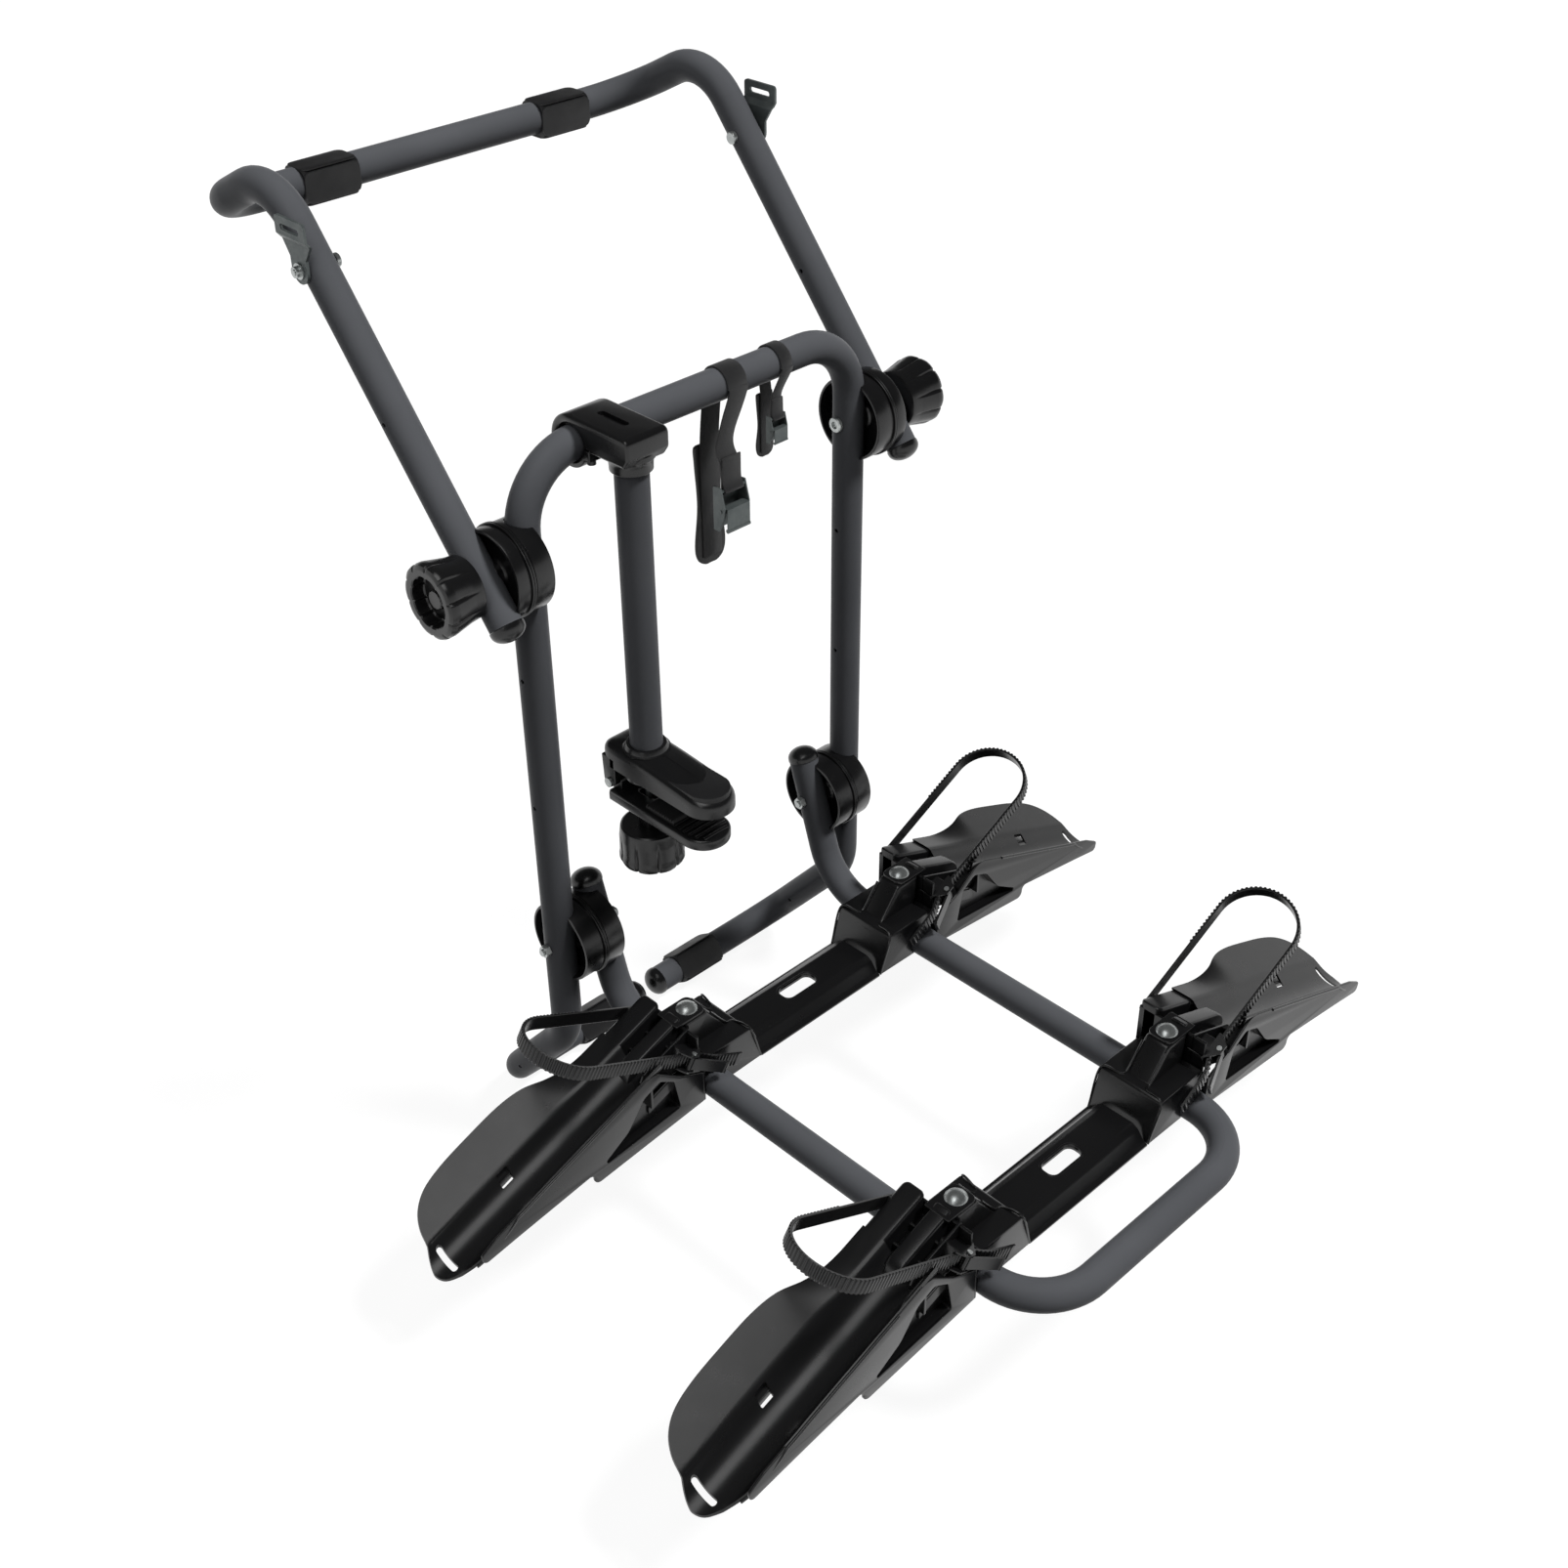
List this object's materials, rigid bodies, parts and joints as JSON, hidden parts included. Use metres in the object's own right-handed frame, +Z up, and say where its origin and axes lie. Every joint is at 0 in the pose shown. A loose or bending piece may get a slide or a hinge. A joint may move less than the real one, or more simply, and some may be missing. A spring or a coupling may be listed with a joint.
{
  "type": "rear bike carrier",
  "caption": "Folding strap-on rear bike carrier: two bent tube frames on hinge pods, a fold-up tray frame with wheel scoops and ratchet straps, and a sliding clamp arm.",
  "frame": {"origin": "middle of the main crossbar, on its axis", "axes": "+X to the carrier's right seen from behind the car, +Y towards the car, +Z up"},
  "size_m": [1.066, 1.109, 1.123],
  "materials": {
    "frame_paint": "satin dark grey powder coat",
    "black_plastic": "fine-grained moulded black",
    "rubber": "matt black rubber",
    "zinc_steel": "zinc-plated steel",
    "black_steel": "black coated steel",
    "webbing": "woven black polyester webbing"
  },
  "bodies": {
    "main_frame": {"main_tube": "frame_paint", "main_end_caps": "black_plastic", "bumper_pads": "rubber", "upper_pod_main": "black_plastic", "lower_pod_main": "black_plastic", "upper_pivot_bolts": "zinc_steel", "lower_pivot_pins": "zinc_steel", "lower_pivot_nuts": "zinc_steel", "stub_nuts": "zinc_steel", "crossbar_webbing": "webbing", "strap_pads": "rubber", "cam_buckles": "zinc_steel", "cam_buckle_pins": "zinc_steel"},
    "upper_frame": {"upper_tube": "frame_paint", "upper_end_caps": "black_plastic", "roof_pads": "rubber", "upper_pod_leg": "black_plastic", "plate_bolts": "zinc_steel"},
    "side_knob_right": {"side_knob_right": "black_plastic"},
    "side_knob_left": {"side_knob_left": "black_plastic"},
    "strap_plate_right": {"strap_plate_right": "zinc_steel"},
    "strap_plate_left": {"strap_plate_left": "zinc_steel"},
    "tray_frame": {"tray_tube": "frame_paint", "stub_end_caps": "black_plastic", "lower_pod_stub": "black_plastic", "inner_tray_bridge": "black_plastic", "outer_tray_bridge": "black_plastic", "inner_tray_clamps": "black_plastic", "outer_tray_clamps": "black_plastic", "inner_scoop_right": "black_plastic", "inner_scoop_left": "black_plastic", "outer_scoop_right": "black_plastic", "outer_scoop_left": "black_plastic", "tray_bolts": "zinc_steel", "tray_nuts": "zinc_steel", "rail_straps": "black_steel", "inner_wheel_straps": "black_plastic", "outer_wheel_straps": "black_plastic", "ratchet_bodies": "black_plastic", "strap_fasteners": "zinc_steel"},
    "arm_slide": {"arm_liner": "black_plastic"},
    "arm": {"arm_head": "black_plastic", "arm_clamp": "black_plastic", "arm_clamp_bolts": "black_steel", "arm_tube": "frame_paint", "arm_plug": "black_plastic"},
    "jaw": {"jaw_upper": "black_plastic", "jaw_pad_upper": "rubber", "jaw_stud": "zinc_steel", "jaw_pin": "zinc_steel"},
    "lower_jaw": {"jaw_lower": "black_plastic", "jaw_pad_lower": "rubber"},
    "jaw_bush": {"jaw_washer": "black_plastic"},
    "jaw_knob": {"jaw_knob": "black_plastic"},
    "cam_lever_long": {"cam_lever_long": "zinc_steel"},
    "cam_lever_short": {"cam_lever_short": "zinc_steel"},
    "inner_ratchet_lever_right": {"inner_ratchet_lever_right": "black_plastic"},
    "inner_ratchet_lever_left": {"inner_ratchet_lever_left": "black_plastic"},
    "outer_ratchet_lever_right": {"outer_ratchet_lever_right": "black_plastic"},
    "outer_ratchet_lever_left": {"outer_ratchet_lever_left": "black_plastic"}
  },
  "joints": [
    {"name": "upper_frame_hinge", "type": "hinge", "parent": "main_frame", "child": "upper_frame", "pos_m": [0, 0, -0.1031], "axis": [1, 0, 0], "range_deg": [-108, 55]},
    {"name": "side_knob_right_turn", "type": "hinge", "parent": "main_frame", "child": "side_knob_right", "pos_m": [0.3, 0, -0.1031], "axis": [1, 0, 0], "continuous": true},
    {"name": "side_knob_left_turn", "type": "hinge", "parent": "main_frame", "child": "side_knob_left", "pos_m": [-0.3, 0, -0.1031], "axis": [-1, 0, 0], "continuous": true},
    {"name": "strap_plate_right_swivel", "type": "hinge", "parent": "upper_frame", "child": "strap_plate_right", "pos_m": [0.298, 0.21405, 0.15199], "axis": [1, 0, 0], "range_deg": [-80, 80]},
    {"name": "strap_plate_left_swivel", "type": "hinge", "parent": "upper_frame", "child": "strap_plate_left", "pos_m": [-0.298, 0.21405, 0.15199], "axis": [1, 0, 0], "range_deg": [-80, 80]},
    {"name": "tray_frame_hinge", "type": "hinge", "parent": "main_frame", "child": "tray_frame", "pos_m": [0, 0, -0.5846], "axis": [-1, 0, 0], "range_deg": [0, 45]},
    {"name": "arm_slide_along_bar", "type": "slide", "parent": "main_frame", "child": "arm_slide", "axis": [1, 0, 0], "range_m": [0, 0.1]},
    {"name": "arm_swing", "type": "hinge", "parent": "arm_slide", "child": "arm", "pos_m": [-0.135, 0, 0], "axis": [-1, 0, 0], "range_deg": [0, 100]},
    {"name": "jaw_swivel", "type": "hinge", "parent": "arm", "child": "jaw", "pos_m": [-0.135, -0.059, -0.3636], "axis": [0, 0, 1], "range_deg": [-85, 85]},
    {"name": "jaw_close", "type": "hinge", "parent": "jaw", "child": "lower_jaw", "pos_m": [-0.135, -0.028, -0.3836], "axis": [-1, 0, 0], "range_deg": [0, 12]},
    {"name": "bush_slide", "type": "slide", "parent": "jaw", "child": "jaw_bush", "axis": [0, 0, 1], "range_m": [0, 0.00655]},
    {"name": "jaw_knob_turn", "type": "hinge", "parent": "jaw_bush", "child": "jaw_knob", "pos_m": [-0.135, -0.059, -0.4586], "axis": [0, 0, 1], "range_deg": [0, 1870]},
    {"name": "cam_lever_long_lift", "type": "hinge", "parent": "main_frame", "child": "cam_lever_long", "pos_m": [0.03, -0.023, -0.13], "axis": [-1, 0, 0], "range_deg": [0, 85], "stiffness_Nm_per_rad": 0.01, "springref_deg": -22.92},
    {"name": "cam_lever_short_lift", "type": "hinge", "parent": "main_frame", "child": "cam_lever_short", "pos_m": [0.097, -0.02172, -0.0642], "axis": [-1, 0, 0], "range_deg": [0, 85], "stiffness_Nm_per_rad": 0.00216, "springref_deg": -22.92},
    {"name": "inner_ratchet_lever_right_lift", "type": "hinge", "parent": "tray_frame", "child": "inner_ratchet_lever_right", "pos_m": [0.2086, -0.19258, -0.64938], "axis": [-0.4523, -0.0859, 0.8877], "range_deg": [0, 60], "stiffness_Nm_per_rad": 0.01, "springref_deg": -22.92},
    {"name": "inner_ratchet_lever_left_lift", "type": "hinge", "parent": "tray_frame", "child": "inner_ratchet_lever_left", "pos_m": [-0.2086, -0.19258, -0.64938], "axis": [-0.4523, 0.0859, -0.8877], "range_deg": [0, 60], "stiffness_Nm_per_rad": 0.01, "springref_deg": -22.92},
    {"name": "outer_ratchet_lever_right_lift", "type": "hinge", "parent": "tray_frame", "child": "outer_ratchet_lever_right", "pos_m": [0.2086, -0.58558, -0.64938], "axis": [-0.4523, -0.0859, 0.8877], "range_deg": [0, 60], "stiffness_Nm_per_rad": 0.01, "springref_deg": -22.92},
    {"name": "outer_ratchet_lever_left_lift", "type": "hinge", "parent": "tray_frame", "child": "outer_ratchet_lever_left", "pos_m": [-0.2086, -0.58558, -0.64938], "axis": [-0.4523, 0.0859, -0.8877], "range_deg": [0, 60], "stiffness_Nm_per_rad": 0.01, "springref_deg": -22.92}
  ],
  "couplings": [
    {"joint": "jaw_close", "follows": "jaw_knob_turn", "ratio": 0.0064107},
    {"joint": "bush_slide", "follows": "jaw_knob_turn", "m_per_rad": 0.00019894}
  ]
}
